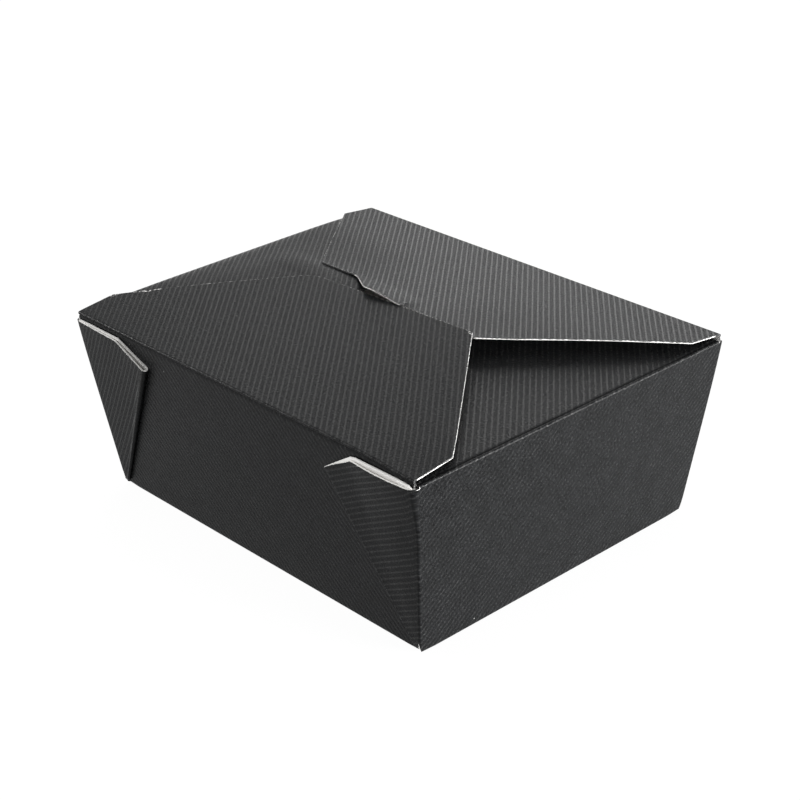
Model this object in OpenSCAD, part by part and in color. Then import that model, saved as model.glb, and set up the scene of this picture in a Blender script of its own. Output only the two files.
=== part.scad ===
// Takeaway box folded from one creased sheet of board.
// Four sloping walls rise from a flat base. At each corner a web of board is folded double and glued
// back on the long wall, which leaves a pocket that is open at the top. Two dust flaps on the short
// walls lie under two long flaps, and the back one closes last with its tab over the front one.
// X runs along the long walls, Y across the box, Z up, and the origin is under the centre of the base.

/* [Board] */
// Thickness of the board
board_t = 0.5; // [0.4:0.05:0.6]
// Radius of the raised bead that creasing leaves along a flap's fold
crease_r = 0.45; // [0.4:0.05:0.6]
// Radius of the bead along an upright corner of the box
corner_r = 0.35; // [0.32:0.01:0.5]
// Inner radius of a fold that is pressed flat
fold_r = 0.1; // [0.05:0.05:0.2]

/* [Tray] */
// Length of the base
base_l = 152; // [130:1:180]
// Width of the base over the folded corners
base_w = 122; // [105:1:140]
// Length of the box at the rim
rim_l = 170; // [160:1:200]
// Width of the box at the rim over the folded corners
rim_w = 137; // [125:1:155]
// Height of the short walls, up to the fold of the dust flaps
wall_h = 63.5; // [50:0.5:80]
// How much higher the long walls' fold is than the short walls' one
lift = 2.5; // [2:0.1:4]

/* [Corner webs] */
// Length of the diagonal fold from the base corner to its tip
fold_l = 65; // [50:0.5:66]
// Level stretch of the web's top edge, from the corner
web_top_l = 26; // [15:0.5:30]
// Opening of the pocket at the tip of the fold
pocket_fold_gap = 1.4; // [0.8:0.1:2.4]
// Extra opening between the fold and the corner, where the outer layer bows out
pocket_bow = 1.1; // [0:0.1:2]
// How far the glued layer stands above the outer one
inner_proud = 1.2; // [0:0.1:2]

/* [Long flaps] */
// Angle at which the closed long flaps rise to the seam
flap_rise = 6.3; // [6:0.1:8]
// Opening left in the seam between the two long flaps
seam_gap = 0.5; // [0.4:0.1:1.5]
// How much narrower each end of a long flap is than the rim
flap_inset = 0.8; // [0.5:0.1:3]
// Depth of the straight shoulder of a long flap, before its sides slant in
shoulder = 14; // [8:0.5:20]
// Width of a long flap at its free edge
flap_tip_w = 77; // [68:1:90]
// Radius of the front flap's round corner
front_corner_r = 12; // [4:1:16]

/* [Tab] */
// How far the back flap's left corner falls short of the seam
tab_recess = 9.5; // [6:0.5:14]
// Length of the short edge beside the tab
tab_shelf_l = 16.5; // [8:0.5:20]
// How far the tab's left side slants in
tab_slant = 15; // [8:0.5:18]
// Distance of the lock slit from the middle of the flap
slit_x = 5; // [2:0.5:10]
// Width of the lock slit
slit_w = 0.4; // [0.3:0.1:1]
// How far the tab reaches over the front flap
tab_overlap = 0.6; // [0.3:0.1:2]
// Angle at which the tab rides up over the front flap
tab_kick = 9; // [7:0.5:14]

/* [Dust flaps] */
// Length of a dust flap
dust_l = 62; // [45:1:64]
// How much narrower each end of a dust flap is than the rim
dust_inset = 2.5; // [2:0.1:5]
// Depth of the straight shoulder of a dust flap
dust_shoulder = 12; // [8:0.5:16]
// Width of a dust flap at its free edge
dust_tip_w = 52; // [40:1:54]
// Angle at which the right dust flap rises
dust_rise = 3; // [1:0.5:3.5]
// Angle at which the left dust flap rises
left_dust_rise = 3.5; // [2:0.5:4]
// Length of the steep first stretch of the left dust flap, which springs up from its fold
spring_l = 4; // [2:0.5:4.5]
// Angle of that steep stretch
spring_a = 20; // [10:1:24]

/* [Hinge] */
// Running gap between the back wall and the bead that the back flap turns on
hinge_gap = 0.3; // [0.2:0.05:0.5]

/* [Hidden] */
$fn = 48;
// The web's two layers lie on the long walls, so those stand this far inside the folded corners
web_t = 2 * board_t + 2 * fold_r;
// Half the width between the outer faces of the long walls, at the base and at the rim
base_half_w = base_w / 2 - web_t;
rim_half_w = rim_w / 2 - web_t;
// Outward lean of the long and the short walls
long_lean = atan((rim_half_w - base_half_w) / wall_h);
short_lean = atan((rim_l - base_l) / 2 / wall_h);
// Slope heights of the walls, measured along the board
long_rim_v = wall_h / cos(long_lean);
long_fold_v = (wall_h + lift) / cos(long_lean);
short_rim_v = wall_h / cos(short_lean);
// Lean of the corner line, seen flat on a long and on a short wall
corner_long = atan((rim_l - base_l) / 2 / long_rim_v);
corner_short = atan((rim_w - base_w) / 2 / short_rim_v);
// The web takes what the base corner and the two walls leave of a full turn, and its fold halves it
web_half = (360 - 90 - (90 + corner_long) - (90 + corner_short)) / 2;
// Fold lines of the long and the short walls, at the middle of the board
long_fold_y = rim_half_w + lift * tan(long_lean) - board_t / 2 / cos(long_lean);
long_fold_z = wall_h + lift;
short_fold_x = rim_l / 2 - board_t / 2 / cos(short_lean);
flap_half = rim_l / 2 - flap_inset;
// The two long flaps meet over the middle of the box
flap_l = (long_fold_y - seam_gap / 2) / cos(flap_rise);
shelf_l = flap_l - tab_recess;
// Where the slanted side of a long flap has come in, at a given distance from its fold
side_run = (flap_half - flap_tip_w / 2) / (flap_l - shoulder);
function side_x(d) = flap_half - (d - shoulder) * side_run;
// The tab rides up from the shelf line and ends over the front flap
tab_l = (tab_recess * cos(flap_rise) + seam_gap + tab_overlap) / cos(flap_rise + tab_kick);
dust_half = rim_w / 2 - dust_inset;
// Overlap that joins stretches of the sheet, and what a bead stops short of its flap's sides
lap = 0.2;
// Depth to which the glued layer beds in the wall
glue = 0.1;
// Where the web's folded layers start, measured from the base corner
web_start = 1;
web_rays = 5;
turn_rays = 6;

// One flat stretch of board with its middle in the plane of its outline
module board(outline) {
    translate([0, 0, -board_t / 2]) linear_extrude(board_t) polygon(outline);
}

// Places its children in the outer face of a wall: x along the base, y up the slope, z outward
module on_wall(side, half_depth, lean) {
    rotate([0, 0, 90 * side]) translate([0, -half_depth, 0]) rotate([90 + lean, 0, 0]) children();
}

// Places its children in a closed flap: x along its fold, y towards its free edge
module on_flap(side, half_depth, height, rise) {
    rotate([0, 0, 90 * side]) translate([0, -half_depth, height]) rotate([rise, 0, 0]) children();
}

// The bead along the fold of a flap of half width w
module bead(w) {
    rotate([0, 90, 0]) cylinder(h = 2 * (w - 2 * lap), r = crease_r, center = true);
}

// Points of a round corner of radius r at b, on the way from a to c
function round_corner(a, b, c, r) =
    let (
        u = (a - b) / norm(a - b),
        w = (c - b) / norm(c - b),
        half = acos(u * w) / 2,
        centre = b + (u + w) / norm(u + w) * r / sin(half),
        from = b + u * r / tan(half) - centre,
        to = b + w * r / tan(half) - centre,
        a0 = atan2(from.y, from.x),
        turn = (atan2(to.y, to.x) - a0 + 540) % 360 - 180
    )
    [for (i = [0:8]) centre + r * [cos(a0 + turn * i / 8), sin(a0 + turn * i / 8)]];

module base() {
    x = base_l / 2 - board_t + lap;
    y = base_half_w - board_t + lap;
    translate([0, 0, board_t / 2]) board([[-x, -y], [x, -y], [x, y], [-x, y]]);
}

// A long wall up to height top_v along its slope, with the narrower strip that carries the flap
module long_wall(side, top_v) {
    base_x = base_l / 2 - board_t / 2;
    rim_x = rim_l / 2 - board_t / 2;
    strip_x = flap_half - lap;
    on_wall(side, base_half_w, long_lean) translate([0, 0, -board_t / 2]) {
        board([[-base_x, 0], [base_x, 0], [rim_x, long_rim_v], [-rim_x, long_rim_v]]);
        board([
            [-strip_x, long_rim_v - lap], [strip_x, long_rim_v - lap],
            [strip_x, top_v], [-strip_x, top_v]
        ]);
    }
}

// A short wall reaches to the middle of the web's outer layer, which runs on from it
module short_wall(side) {
    base_y = base_w / 2 - board_t / 2;
    rim_y = rim_w / 2 - board_t / 2;
    on_wall(side, base_l / 2, short_lean) translate([0, 0, -board_t / 2])
        board([[-base_y, 0], [base_y, 0], [rim_y, short_rim_v], [-rim_y, short_rim_v]]);
}

// Distance from the base corner to the web's top edge along a ray at angle a from the corner line.
// The edge is level for web_top_l, then runs straight down to the tip of the fold.
bend = [-web_top_l, long_rim_v] + [long_rim_v * tan(corner_long), 0];
tip = fold_l * [-sin(web_half - corner_long), cos(web_half - corner_long)];
bend_a = corner_long - atan2(bend.x, bend.y);
function ray(a) = [sin(corner_long - a), cos(corner_long - a)];
function cross2(p, q) = p.x * q.y - p.y * q.x;
function edge_r(a) = a <= bend_a
    ? long_rim_v / ray(a).y
    : cross2(bend, tip - bend) / cross2(ray(a), tip - bend);
// Opening of the pocket at angle a, at the length of the fold
function pocket(a) = pocket_fold_gap * a / web_half + pocket_bow * sin(180 * a / web_half);
function at(r, a, z) = concat(r * ray(a), z);

// The four rows of points that bound the web's board on one ray: outer face and pocket face, each
// at the base corner and at the top edge. The rows run over the outer layer, round the fold and
// back over the layer that is glued to the wall.
outer_as = concat(
    [for (i = [0:web_rays - 1]) bend_a * i / web_rays],
    [for (i = [0:web_rays - 2]) bend_a + (web_half - bend_a) * i / (web_rays - 1)]
);
inner_as = [web_half, bend_a, 0];
function outer_row(r, depth) =
    [for (a = outer_as) let (q = r(a)) at(q, a, web_t + q / fold_l * pocket(a) - depth)];
function turn_row(q, depth) =
    let (
        stack = web_t / 2 + q / fold_l * pocket_fold_gap / 2,
        away = [-cos(web_half - corner_long), -sin(web_half - corner_long)]
    )
    [for (i = [0:turn_rays - 1]) let (s = 90 - 180 * i / turn_rays)
        concat(q * ray(web_half) + (stack - depth) * cos(s) * away, stack + (stack - depth) * sin(s))];
function inner_row(r, z) = [for (a = inner_as) at(r(a), a, z)];
foot = function(a) web_start;
top = function(a) edge_r(a);
inner_top = function(a) edge_r(a) * (1 + inner_proud / long_rim_v);

module web() {
    faces_out = concat(outer_row(foot, 0), turn_row(web_start, 0), inner_row(foot, -glue));
    edge_out = concat(outer_row(top, 0), turn_row(fold_l, 0), inner_row(inner_top, -glue));
    faces_in = concat(outer_row(foot, board_t), turn_row(web_start, board_t), inner_row(foot, board_t));
    edge_in = concat(outer_row(top, board_t), turn_row(fold_l, board_t), inner_row(inner_top, board_t));
    n = len(faces_out);
    rows = concat(faces_out, edge_out, edge_in, faces_in);
    translate([base_l / 2 - board_t / 2, 0, 0]) polyhedron(
        points = rows,
        faces = concat(
            [for (k = [0:3]) for (i = [0:n - 2]) let (p = k * n + i, q = (k + 1) % 4 * n + i)
                [p, p + 1, q + 1]],
            [for (k = [0:3]) for (i = [0:n - 2]) let (p = k * n + i, q = (k + 1) % 4 * n + i)
                [p, q + 1, q]],
            [[0, n, 2 * n, 3 * n]],
            [[4 * n - 1, 3 * n - 1, 2 * n - 1, n - 1]]
        )
    );
}

// The upright bead where the web's outer layer turns the corner into the short wall
module corner_bead() {
    translate([base_l / 2 - board_t / 2, 0, web_t - board_t / 2]) rotate([0, 0, -corner_long])
        translate([0, lap, 0]) rotate([-90, 0, 0])
            cylinder(h = long_rim_v / cos(corner_long) - 2 * lap, r = corner_r);
}

module webs() {
    for (side = [0, 2])
        on_wall(side, base_half_w, long_lean)
            for (right = [0, 1])
                mirror([right, 0, 0]) {
                    web();
                    corner_bead();
                }
}

module front_flap() {
    left = [-flap_tip_w / 2, flap_l];
    on_flap(0, long_fold_y, long_fold_z, flap_rise) {
        bead(flap_half);
        board(concat(
            [[-flap_half, 0], [flap_half, 0], [flap_half, shoulder], [flap_tip_w / 2, flap_l]],
            round_corner([flap_tip_w / 2, flap_l], left, [-flap_half, shoulder], front_corner_r),
            [[-flap_half, shoulder]]
        ));
    }
}

// A dust flap whose first stretch, of length steep_l, rises at steep_a before the rest lies back.
// Its bent section runs the full width and is cut to the flap's outline.
module dust_flap(side, rise, steep_l, steep_a) {
    bend_y = steep_l * cos(steep_a);
    end_y = bend_y + (dust_l - steep_l) * cos(rise);
    half = board_t / 2;
    on_flap(side, short_fold_x, wall_h, 0) {
        bead(dust_half);
        intersection() {
            rotate([90, 0, 90]) linear_extrude(2 * dust_half, center = true) {
                rotate(steep_a) translate([0, -half]) square([steep_l, board_t]);
                translate([bend_y, steep_l * sin(steep_a)]) {
                    circle(r = half * 1.1);
                    rotate(rise) translate([0, -half]) square([dust_l - steep_l, board_t]);
                }
            }
            translate([0, 0, -dust_l]) linear_extrude(2 * dust_l) polygon([
                [-dust_half, -half], [dust_half, -half], [dust_half, dust_shoulder],
                [dust_tip_w / 2, end_y], [-dust_tip_w / 2, end_y], [-dust_half, dust_shoulder]
            ]);
        }
    }
}

module carton() {
    color([0.17, 0.17, 0.175]) {
        base();
        long_wall(0, long_fold_v);
        long_wall(2, long_fold_v - crease_r - hinge_gap);
        short_wall(1);
        short_wall(3);
        webs();
        front_flap();
        dust_flap(1, dust_rise, spring_l, dust_rise);
        dust_flap(3, left_dust_rise, spring_l, spring_a);
    }
}

// The back flap, seen from its fold: its tab is on the side of positive x
module top_flap() {
    color([0.24, 0.24, 0.245])
        on_flap(2, long_fold_y, long_fold_z, flap_rise) {
            shelf_x = side_x(shelf_l);
            step_x = shelf_x - tab_shelf_l;
            bead(flap_half);
            board([
                [-flap_half, 0], [flap_half, 0], [flap_half, shoulder], [shelf_x, shelf_l],
                [-slit_x - slit_w, shelf_l], [-slit_x - slit_w, flap_l],
                [-flap_tip_w / 2, flap_l], [-flap_half, shoulder]
            ]);
            translate([0, shelf_l, 0]) rotate([tab_kick, 0, 0]) board([
                [step_x, -lap], [step_x - tab_slant, tab_l], [-slit_x, tab_l], [-slit_x, -lap]
            ]);
        }
}

carton();
top_flap();
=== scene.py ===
import math

import bpy
import numpy as np
from mathutils import Matrix, Vector


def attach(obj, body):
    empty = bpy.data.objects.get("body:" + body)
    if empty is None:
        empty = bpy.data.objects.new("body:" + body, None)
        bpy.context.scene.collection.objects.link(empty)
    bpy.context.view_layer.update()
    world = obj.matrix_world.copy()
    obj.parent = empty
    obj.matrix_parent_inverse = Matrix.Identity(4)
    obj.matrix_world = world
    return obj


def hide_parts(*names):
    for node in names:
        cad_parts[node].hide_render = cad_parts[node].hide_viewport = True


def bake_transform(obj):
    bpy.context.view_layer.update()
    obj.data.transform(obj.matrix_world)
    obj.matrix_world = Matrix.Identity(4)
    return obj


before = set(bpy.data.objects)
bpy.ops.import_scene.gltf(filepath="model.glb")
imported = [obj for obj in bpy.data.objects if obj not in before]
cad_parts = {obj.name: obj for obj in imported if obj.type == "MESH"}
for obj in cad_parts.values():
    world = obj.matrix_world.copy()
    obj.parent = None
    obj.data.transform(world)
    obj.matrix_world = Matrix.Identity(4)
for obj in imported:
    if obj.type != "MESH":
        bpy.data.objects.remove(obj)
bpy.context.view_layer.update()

# Camera. It stands right of the front wall and looks down on the box through a long lens, which is
# the place and the slight roll that the photograph was taken with.
view_azimuth = math.radians(47.965)
view_elevation = math.radians(26.615)
view_roll = math.radians(-1.842)
view_point = Vector((0.42254, -0.37824, 0.32143))
sensor_mm = 36
focal_mm = 84.194

backward = Vector((
    math.sin(view_azimuth) * math.cos(view_elevation),
    -math.cos(view_azimuth) * math.cos(view_elevation),
    math.sin(view_elevation),
))
level = Vector((math.cos(view_azimuth), math.sin(view_azimuth), 0))
upright = backward.cross(level)
rightward = math.cos(view_roll) * level + math.sin(view_roll) * upright
upward = math.cos(view_roll) * upright - math.sin(view_roll) * level
camera = bpy.data.objects.new("camera", bpy.data.cameras.new("camera"))
camera.data.sensor_width = sensor_mm
camera.data.lens = focal_mm
camera.matrix_world = Matrix.Translation(view_point) @ Matrix(
    (rightward, upward, backward)
).transposed().to_4x4()
bpy.context.scene.collection.objects.link(camera)
bpy.context.scene.camera = camera
bpy.context.scene.view_settings.view_transform = "Standard"

# Blank. The box is cut from one sheet of half-millimetre white board, printed black with thin grey
# pinstripes on the outer side only. It is creased along straight lines and folded up, so every
# panel below knows where its points lay on the flat blank. Sizes are in millimetres.
MM = 0.001
board_t = 0.5
base_half_l = 75.75
base_half_w = 59.8
corner_half_w = 60.75
wall_h = 63.5
rim_grow_l = 9.0
rim_grow_w = 7.5
long_lean = math.atan(rim_grow_w / wall_h)
short_lean = math.atan(rim_grow_l / wall_h)
long_rim_v = wall_h / math.cos(long_lean)
short_rim_v = wall_h / math.cos(short_lean)
strip_h = 2.5
strip_end = base_half_w + long_rim_v + strip_h / math.cos(long_lean)

# The middles of the flaps' folds and of the grooves beside them, out from the blank's middle.
long_fold_at = strip_end - 0.05
short_fold_at = base_half_l + short_rim_v + 0.25
long_groove_at = long_fold_at - 0.9
short_groove_at = short_fold_at + 1.0

# The rim's front right corner has been pushed in and down a little: where, how far around, over
# which heights, and by how much.
settled_at = (85, -68)
settled_reach = (16, 12)
settled_heights = (45, 63)
settled_move = np.array([-0.75, -0.85, -0.6])

# Where the folded layers run out into a base corner, they are pressed thin and end in a point.
pressed_share = 0.12
pressed_reach = 6
point_r = 0.7
layer_ends_r = 2.5

# The back flap, its crease and the wall below are meshes of their own, though they are one sheet.
seam_reach = 1.3
sharp_angle = math.radians(50)

# Points of two panels are one where they round to the same place, the shift keeping them off a tie.
join_digits = 3
join_shift = 0.00037

# Every sheet's three surfaces, which are the numbers of its materials.
PRINTED, PLAIN, CUT = range(3)


def side_point(k, u, out, z):
    """A point of side k, which is u along its wall, out from the middle of the box and z up."""
    u, out, z = np.broadcast_arrays(u, out, z)
    x, y = [(u, -out), (out, u), (-u, out), (-out, -u)][k]
    return np.stack([x, y, z], -1).astype(float)


def side_blank(k, u, out):
    """The same point on the flat blank, where out goes on along the board."""
    return side_point(k, u, out, 0)


def ramp(value, low, high):
    """0 below low and 1 above high, with a soft way between them."""
    t = np.clip((np.asarray(value, float) - low) / (high - low), 0, 1)
    return t * t * (3 - 2 * t)


def join_panels(panels):
    """Points, blank points and faces of panels, which are joined wherever they share a point.

    A panel is a grid of middle points, one of blank points, and whether it closes into a ring.
    """
    seen, points, blank, faces = {}, [], [], []
    for grid, flat, closed in panels:
        rows, cols = grid.shape[:2]
        ids = np.empty((rows, cols), int)
        for i in range(rows):
            for j in range(cols):
                key = tuple(np.round(grid[i, j] + join_shift, join_digits))
                if key not in seen:
                    seen[key] = len(points)
                    points.append(grid[i, j])
                    blank.append(flat[i, j])
                ids[i, j] = seen[key]
        for i in range(rows - 1):
            for j in range(cols if closed else cols - 1):
                k = (j + 1) % cols
                corners = list(dict.fromkeys([ids[i, j], ids[i, k], ids[i + 1, k], ids[i + 1, j]]))
                if len(corners) > 2:
                    faces.append([int(c) for c in corners])
    return np.array(points), np.array(blank), faces


def settle(points):
    """The points after the rim's front right corner has been pushed in."""
    near = np.exp(-(((points[:, :2] - settled_at) / settled_reach) ** 2).sum(1))
    near *= ramp(points[:, 2], *settled_heights)
    return points + near[:, None] * settled_move


def point_normals(points, faces):
    normals = np.zeros_like(points)
    for face in faces:
        p = points[face]
        normals[face] += np.cross(p[2] - p[0], p[-1] - p[1])
    return normals / np.maximum(np.linalg.norm(normals, axis=1), 1e-12)[:, None]


def open_edges(faces):
    """The edges that only one face has, each in that face's direction."""
    uses = {}
    for face in faces:
        for a, b in zip(face, face[1:] + face[:1]):
            uses.setdefault((min(a, b), max(a, b)), []).append((a, b))
    return [ways[0] for ways in uses.values() if len(ways) == 1]


def distance_to_edges(blank, edges):
    """How far each point of the blank is from the nearest of some edges on it."""
    starts = blank[edges[:, 0], :2]
    ways = blank[edges[:, 1], :2] - starts
    lengths = np.maximum((ways ** 2).sum(1), 1e-9)
    nearest = np.empty(len(blank))
    for i in range(len(blank)):
        off = blank[i, :2] - starts
        share = np.clip((off * ways).sum(1) / lengths, 0, 1)
        nearest[i] = np.sqrt(((off - share[:, None] * ways) ** 2).sum(1).min())
    return nearest


def make_sheet(name, panels):
    """One closed mesh of board, half its thickness to either side of the panels' middle points."""
    points, blank, faces = join_panels(panels)
    points = settle(points)
    normals = point_normals(points, faces)
    cut = open_edges(faces)
    count = len(points)

    from_corner = np.linalg.norm(np.abs(blank[:, :2]) - [base_half_l, base_half_w], axis=1)
    half_t = board_t / 2 * np.clip(pressed_share + from_corner / pressed_reach, 0, 1)[:, None]
    outer = points + normals * half_t
    inner = points - normals * half_t
    mesh = bpy.data.meshes.new(name)
    mesh.from_pydata(
        (np.concatenate([outer, inner]) * MM).tolist(), [],
        faces + [[c + count for c in reversed(face)] for face in faces]
        + [[b, a, a + count, b + count] for a, b in cut],
    )
    for material in board_materials:
        mesh.materials.append(material)
    inner_kinds = [PRINTED if from_corner[face].min() < point_r else PLAIN for face in faces]
    cut_kinds = [
        PRINTED if max(from_corner[a], from_corner[b]) < layer_ends_r else CUT for a, b in cut
    ]
    mesh.polygons.foreach_set("material_index", [PRINTED] * len(faces) + inner_kinds + cut_kinds)
    mesh.polygons.foreach_set("use_smooth", [True] * len(mesh.polygons))
    mesh.set_sharp_from_angle(angle=sharp_angle)

    # The print is rubbed by its distance to a real cut edge, which leaves out the layers' ends at
    # the base corners and the seams along the back fold.
    real = []
    for (a, b), kind in zip(cut, cut_kinds):
        along_fold = abs(blank[a, 1] - blank[b, 1]) <= 0.01
        if kind == CUT and not (along_fold and abs(blank[a, 1] - long_fold_at) <= seam_reach):
            real.append((a, b))
    to_cut = distance_to_edges(blank, np.array(real))
    for mark, kind, field, values in (
        ("blank", "FLOAT_VECTOR", "vector", np.concatenate([blank, blank])),
        ("to_cut", "FLOAT", "value", np.concatenate([to_cut, to_cut])),
        ("depth", "FLOAT", "value", np.repeat([0.0, 1.0], count)),
    ):
        layer = mesh.attributes.new(mark, kind, "POINT")
        layer.data.foreach_set(field, values.astype(np.float32).ravel())
    piece = bpy.data.objects.new(name, mesh)
    bpy.context.scene.collection.objects.link(piece)
    return piece


# Fibres. The board's fibres show as a mottle in every surface, printed or not. The group gives a
# grain of about half a millimetre, a speckle of about a millimetre and broad clouds.
def node(tree, kind, inputs=(), **settings):
    """A node with settings, whose inputs are values or other nodes' sockets."""
    made = tree.nodes.new(kind)
    for key, value in settings.items():
        setattr(made, key, value)
    for key, value in dict(inputs).items():
        if isinstance(value, bpy.types.NodeSocket):
            tree.links.new(value, made.inputs[key])
        else:
            made.inputs[key].default_value = value
    return made


def attribute(tree, name, output):
    return node(tree, "ShaderNodeAttribute", attribute_name=name).outputs[output]


fibre = bpy.data.node_groups.new("board_fibre", "ShaderNodeTree")
fibre.interface.new_socket("Blank", in_out="INPUT", socket_type="NodeSocketVector")
fibre_start = fibre.nodes.new("NodeGroupInput")
fibre_end = fibre.nodes.new("NodeGroupOutput")
for output, scale, detail in (("Grain", 2.1, 1.0), ("Speckle", 1.1, 4.0), ("Cloud", 0.16, 2.0)):
    fibre.interface.new_socket(output, in_out="OUTPUT", socket_type="NodeSocketFloat")
    texture = node(fibre, "ShaderNodeTexNoise", {
        "Vector": fibre_start.outputs["Blank"], "Scale": scale, "Detail": detail,
    })
    fibre.links.new(texture.outputs["Fac"], fibre_end.inputs[output])


# Nearly all values of a noise lie in the first span, and most of them in the second.
noise_span = (0.3, 0.7)
noise_core = (0.35, 0.65)


def add_fibre(tree):
    """The fibre group's grain, speckle and cloud, and the place on the blank that they follow."""
    place = attribute(tree, "blank", "Vector")
    made = node(tree, "ShaderNodeGroup", {"Blank": place}, node_tree=fibre)
    return [made.outputs[name] for name in ("Grain", "Speckle", "Cloud")] + [place]


# Creases. The creasing rule presses a groove beside each flap's fold, and the fold itself cracks
# the print a little. The group marks both along the fold lines of the blank, and the fibres break
# up the cracks. The groove's mark carries painted shade into the print, and the cracks' mark a
# painted highlight on the fold.
def math_node(tree, operation, *values):
    return node(tree, "ShaderNodeMath", enumerate(values), operation=operation).outputs[0]


def soft_step(tree, value, low, high):
    return node(
        tree, "ShaderNodeMapRange", {"Value": value, "From Min": low, "From Max": high},
        interpolation_type="SMOOTHSTEP",
    ).outputs["Result"]


crack_highlight_half = 0.3
pressed_half = 0.45
fold_marks = bpy.data.node_groups.new("fold_marks", "ShaderNodeTree")
for name, way, kind in (("Blank", "INPUT", "Vector"), ("Speckle", "INPUT", "Float"),
                        ("CracksAndHighlight", "OUTPUT", "Float"), ("PressedAndShaded", "OUTPUT", "Float")):
    fold_marks.interface.new_socket(name, in_out=way, socket_type="NodeSocket" + kind)
marks_start = fold_marks.nodes.new("NodeGroupInput")
marks_end = fold_marks.nodes.new("NodeGroupOutput")
place = node(fold_marks, "ShaderNodeSeparateXYZ", {"Vector": marks_start.outputs["Blank"]})
for output, lines, half in (("CracksAndHighlight", (short_fold_at, long_fold_at), crack_highlight_half),
                            ("PressedAndShaded", (short_groove_at, long_groove_at), pressed_half)):
    bands = []
    for axis, line_at in zip("XY", lines):
        off = math_node(fold_marks, "ABSOLUTE", place.outputs[axis])
        off = math_node(fold_marks, "ABSOLUTE", math_node(fold_marks, "SUBTRACT", off, line_at))
        bands.append(soft_step(fold_marks, off, half, 0.0))
    mark = math_node(fold_marks, "MAXIMUM", *bands)
    if output == "CracksAndHighlight":
        broken = soft_step(fold_marks, marks_start.outputs["Speckle"], 0.45, 0.60)
        mark = math_node(fold_marks, "MULTIPLY", mark, broken)
    fold_marks.links.new(mark, marks_end.inputs[output])

# Printed side: a matt black ink film with thin grey pinstripes, which run at nearly half a right
# angle to the folds. The print is grainy and bare along cut edges where it has rubbed. On the folds
# it is whitened faintly, partly as cracks and partly as a painted highlight, and beside them it is
# darkened as painted shade in the grooves.
stripe_pitch = 1.835
stripe_w = 0.52
stripe_turn = math.radians(42.9)
stripe_wander = 0.10
ink = (0.0054, 0.0057, 0.0061, 1)
stripe_grey = (0.0153, 0.0155, 0.0155, 1)
board_white = (0.80, 0.79, 0.77, 1)
ink_gloss = 0.08
print_bump = 0.45
print_bump_depth = 0.00025
stripe_smoother = 0.28
groove_rougher = 0.35
groove_painted_shade = 0.7
crack_and_highlight_white = 0.035
speck_white = 0.25
speck_r = 0.016
speck_scale = 0.055

# Spots where the edge has worn further in: place on the blank and reach.
scuffs = ((-76.0, -150.0, 7.0), (-83.0, -140.0, 2.5), (38.0, -193.0, 2.0))


def new_material(name):
    """A material with nothing in it but a Principled shader."""
    material = bpy.data.materials.new(name)
    material.use_nodes = True
    tree = material.node_tree
    tree.nodes.clear()
    shader = tree.nodes.new("ShaderNodeBsdfPrincipled")
    output = tree.nodes.new("ShaderNodeOutputMaterial")
    tree.links.new(shader.outputs["BSDF"], output.inputs["Surface"])
    return material, tree, shader


def vary(tree, value, span, results):
    """A number that goes from the first to the second of results as the value crosses its span."""
    step = soft_step(tree, value, *span)
    return math_node(tree, "MULTIPLY_ADD", step, results[1] - results[0], results[0])


def join(tree, operation, first, *others):
    """Several values joined by one operation, such as their product, sum or maximum."""
    for other in others:
        first = math_node(tree, operation, first, other)
    return first


def mix_colour(tree, factor, first, second):
    made = node(tree, "ShaderNodeMix", data_type="RGBA")
    colours = [socket for socket in made.inputs if socket.type == "RGBA"]
    for socket, value in zip([made.inputs["Factor"]] + colours, (factor, first, second)):
        if isinstance(value, bpy.types.NodeSocket):
            tree.links.new(value, socket)
        else:
            socket.default_value = value
    return [socket for socket in made.outputs if socket.type == "RGBA"][0]


def dim(tree, colour, factor):
    """A colour times a factor that changes over the surface."""
    return node(
        tree, "ShaderNodeVectorMath", {0: colour, 1: factor}, operation="MULTIPLY"
    ).outputs[0]


def stripe_lines(tree, place, grain, speckle):
    """1 on a pinstripe and 0 beside it, weaker where the grain breaks it up."""
    flat = node(tree, "ShaderNodeSeparateXYZ", {"Vector": place})
    across = math_node(
        tree, "MULTIPLY_ADD", flat.outputs["X"], math.cos(stripe_turn) / stripe_pitch,
        math_node(tree, "MULTIPLY", flat.outputs["Y"], -math.sin(stripe_turn) / stripe_pitch),
    )
    wander = math_node(tree, "MULTIPLY_ADD", speckle, stripe_wander, -stripe_wander / 2)
    phase = math_node(tree, "FRACT", math_node(tree, "ADD", across, wander))
    off_middle = math_node(tree, "ABSOLUTE", math_node(tree, "SUBTRACT", phase, 0.5))
    half = stripe_w / stripe_pitch / 2
    line = soft_step(tree, off_middle, half * 1.5, half * 0.5)
    return math_node(tree, "MULTIPLY", line, vary(tree, grain, (0.32, 0.62), (0.5, 1.15)))


def bare_spots(tree, place, speckle, cloud, cracks_and_highlight):
    """1 where the print is off the board: along worn edges, and less in specks and in the folds'
    cracks, whose faint white is also a painted highlight on the fold.
    """
    reach = vary(tree, cloud, (0.35, 0.75), (0.06, 0.18))
    for spot_x, spot_y, spot_r in scuffs:
        off = node(
            tree, "ShaderNodeVectorMath", {0: place, 1: (spot_x, spot_y, 0)}, operation="DISTANCE"
        ).outputs["Value"]
        reach = math_node(tree, "ADD", soft_step(tree, off, spot_r, 0.0), reach)
    at_edge = math_node(tree, "LESS_THAN", attribute(tree, "to_cut", "Fac"), reach)
    rubbed = math_node(tree, "MULTIPLY", at_edge, soft_step(tree, speckle, 0.47, 0.60))
    dust = node(
        tree, "ShaderNodeTexVoronoi", {"Vector": place, "Scale": speck_scale}, feature="F1"
    )
    specks = soft_step(tree, dust.outputs["Distance"], speck_r, speck_r / 2)
    # The folds' faint white is partly cracked print and partly a painted highlight.
    return join(
        tree, "MAXIMUM", rubbed, math_node(tree, "MULTIPLY", cracks_and_highlight, crack_and_highlight_white),
        math_node(tree, "MULTIPLY", specks, speck_white),
    )


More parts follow.
